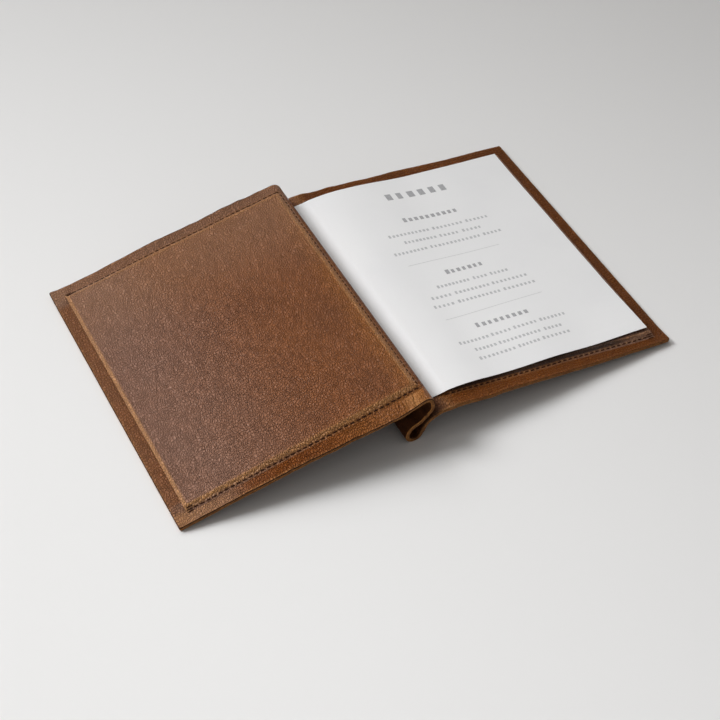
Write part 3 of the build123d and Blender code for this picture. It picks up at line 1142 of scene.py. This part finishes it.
# Each line of the print: its two ends on the sheet and the spans of its words
WHOLE = [(0, 1)]
PRINT = [
    ("title", (60.1, 82.2), (109.6, 80.0), WHOLE),
    ("head", (59.8, 56.0), (103.9, 54.7), WHOLE),
    ("line", (40.5, 43.0), (122.2, 41.1), [(0, 0.40), (0.44, 0.74), (0.78, 1)]),
    ("line", (48.8, 34.0), (111.5, 32.3), [(0, 0.41), (0.46, 0.70), (0.76, 1)]),
    ("line", (35.5, 24.5), (123.5, 23.6), [(0, 0.30), (0.335, 0.80), (0.835, 1)]),
    ("rule", (39.3, 12.1), (114.2, 10.9), WHOLE),
    ("head", (61.8, -4.4), (91.6, -4.4), WHOLE),
    ("line", (48.3, -15.5), (105.6, -16.2), [(0, 0.45), (0.51, 0.70), (0.755, 1)]),
    ("line", (38.7, -24.8), (115.7, -25.8), [(0, 0.20), (0.245, 0.60), (0.635, 1)]),
    ("line", (36.0, -33.5), (117.6, -34.1), [(0, 0.19), (0.235, 0.65), (0.69, 1)]),
    ("rule", (37.4, -46.1), (116.4, -45.0), WHOLE),
    ("head", (54.7, -60.0), (95.9, -60.4), WHOLE),
    ("line", (34.4, -71.5), (119.7, -70.9), [(0, 0.27), (0.30, 0.48), (0.51, 0.725), (0.76, 1)]),
    ("line", (42.0, -80.3), (111.1, -80.3), [(0, 0.24), (0.275, 0.75), (0.80, 1)]),
    ("line", (40.5, -88.9), (113.2, -87.7), [(0, 0.39), (0.43, 0.66), (0.70, 1)]),
]
# The height and ink of each kind of line, then the pitch and width of its blocks
PRINT_KINDS = {"title": (6.8, title_ink), "head": (3.6, title_ink), "line": (2.4, line_ink),
               "rule": (0.45, rule_ink)}
BLOCKS = {"title": (9.4, 4.8), "head": (4.7, 2.7), "line": (3.15, 1.75)}
BLOCK_WIDTHS, FIRST_BLOCK = (0.82, 1.08), 1.25
INK_LIFT = 0.03


def between(p, q, share):
    return [a + (b - a) * share for a, b in zip(p, q)]


def lay_block(p, q, tall, ink):
    """One block or rule of the print on the sheet, from p to q along its foot."""
    clear_choice()
    cells = 12 if q[0] - p[0] > 20 else 1
    bpy.ops.mesh.primitive_grid_add(x_subdivisions=cells + 1, y_subdivisions=1, size=1)
    block = bpy.context.object
    for v in block.data.vertices:
        u, y = between(p, q, v.co.x + 0.5)
        y += tall * (v.co.y + 0.5)
        level = lie_of_sheet(u, y) + PAPER / 2 + INK_LIFT
        v.co = on_leaf("right", u, y + SHEET_SHIFT, level)
    dress(block, ink)
    return block


def make_print():
    """Rows of plain grey blocks and thin rules, where a menu has its title, headings and lines."""
    laid = []
    for kind, a, b, words in PRINT:
        tall, ink = PRINT_KINDS[kind]
        for starts, ends in words:
            p, q = between(a, b, starts), between(a, b, ends)
            if kind == "rule":
                laid.append(lay_block(p, q, tall, ink))
                continue
            pitch, wide = BLOCKS[kind]
            span = q[0] - p[0]
            count = max(1, round((span + pitch - wide) / pitch))
            step = (span - wide) / max(1, count - 1)
            for i in range(count):
                left = step * i / span
                right = (step * i + wide * random.uniform(*BLOCK_WIDTHS)) / span
                first = FIRST_BLOCK if i == 0 and kind != "title" else 1.0
                laid.append(lay_block(between(p, q, left), between(p, q, right), tall * first, ink))
    return join(laid, "menu_print")


sheet = make_sheet()
ink = make_print()
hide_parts("menu_sheet", "menu_sheet_tuck")
for piece, level in ((sheet, SHEET_LEVEL + 0.1), (ink, SHEET_LEVEL + 0.2)):
    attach(piece, "sheet")
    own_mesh(piece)


# ---- floor, light and camera
# The photo's camera: heading, dip and roll in degrees, where it looks at and from how far
CAMERA_TURNS = (27.959, 46.70, 1.064)
CAMERA_TARGET = (-0.015583, -0.035716, 0)
CAMERA_DISTANCE = 1.1879
FOCAL_PIXELS, PICTURE_PIXELS, SENSOR = 1726.1, 720, 36
FLOOR_LEVEL = -0.00005
ROOM_TINT, ROOM_LIGHT = (1.0, 0.965, 0.93, 1), 0.23


def make_floor():
    clear_choice()
    bpy.ops.mesh.primitive_plane_add(size=9, location=(0, 0, FLOOR_LEVEL))
    floor = bpy.context.object
    floor.name = "table_top"
    material, tree, shader = fresh_material("pale_table", grey(0.8))
    cloud = clouds(tree, put(tree, "TexCoord").outputs["Object"], 1.3, 3.0)
    base = blend_colours(tree, cloud, (0.80, 0.797, 0.79, 1), (0.84, 0.838, 0.832, 1))
    set_inputs(tree, shader, {"Base Color": base, "Roughness": 0.65, "Specular IOR Level": 0.25})
    floor.data.materials.append(material)


def set_up(name, data):
    thing = bpy.data.objects.new(name, data)
    bpy.context.scene.collection.objects.link(thing)
    return thing


def hang_lamp(name, kind, place, target, power, tint=(1, 1, 1), **settings):
    data = bpy.data.lights.new(name, kind)
    data.energy = power
    data.color = tint
    for key, value in settings.items():
        setattr(data, key, value)
    lamp = set_up(name, data)
    lamp.location = place
    lamp.rotation_euler = (Vector(target) - Vector(place)).to_track_quat("-Z", "Y").to_euler()


def make_pool(name, place, target, radius, cone, power, tint):
    """A round soft light whose pool fades towards its rim."""
    hang_lamp(name, "SPOT", place, target, power, tint, shadow_soft_size=radius,
              spot_size=math.radians(cone), spot_blend=1.0)


def make_camera():
    az, el, roll = (math.radians(a) for a in CAMERA_TURNS)
    ahead = Vector((math.sin(az) * math.cos(el), math.cos(az) * math.cos(el), -math.sin(el)))
    right = Vector((math.cos(az), -math.sin(az), 0))
    above = right.cross(ahead)
    x = right * math.cos(roll) + above * math.sin(roll)
    y = above * math.cos(roll) - right * math.sin(roll)
    data = bpy.data.cameras.new("camera")
    data.sensor_width = SENSOR
    data.lens = SENSOR * FOCAL_PIXELS / PICTURE_PIXELS
    data.clip_start = 0.05
    camera = set_up("camera", data)
    place = Vector(CAMERA_TARGET) - ahead * CAMERA_DISTANCE
    camera.matrix_world = Matrix.Translation(place) @ Matrix((x, y, -ahead)).transposed().to_4x4()
    bpy.context.scene.camera = camera


make_floor()
make_pool("rear_window", place=(-0.35, 2.3, 2.0), target=(-0.45, -0.25, 0), radius=0.9, cone=40,
          power=165, tint=(1.0, 1.0, 1.0))
hang_lamp("overhead", "AREA", place=(-0.1, 0.6, 2.0), target=(0, 0, 0), power=2.0,
          shape="RECTANGLE", size=0.9, size_y=0.7)
make_pool("left_window", place=(-2.0, 1.3, 1.9), target=(-0.50, -0.20, 0), radius=1.05, cone=35,
          power=835, tint=(0.985, 0.99, 1.0))
make_camera()
world = bpy.data.worlds.new("studio")
bpy.context.scene.world = world
world.use_nodes = True
background = world.node_tree.nodes["Background"]
background.inputs["Color"].default_value = ROOM_TINT
background.inputs["Strength"].default_value = ROOM_LIGHT
bpy.context.scene.view_settings.view_transform = "Standard"
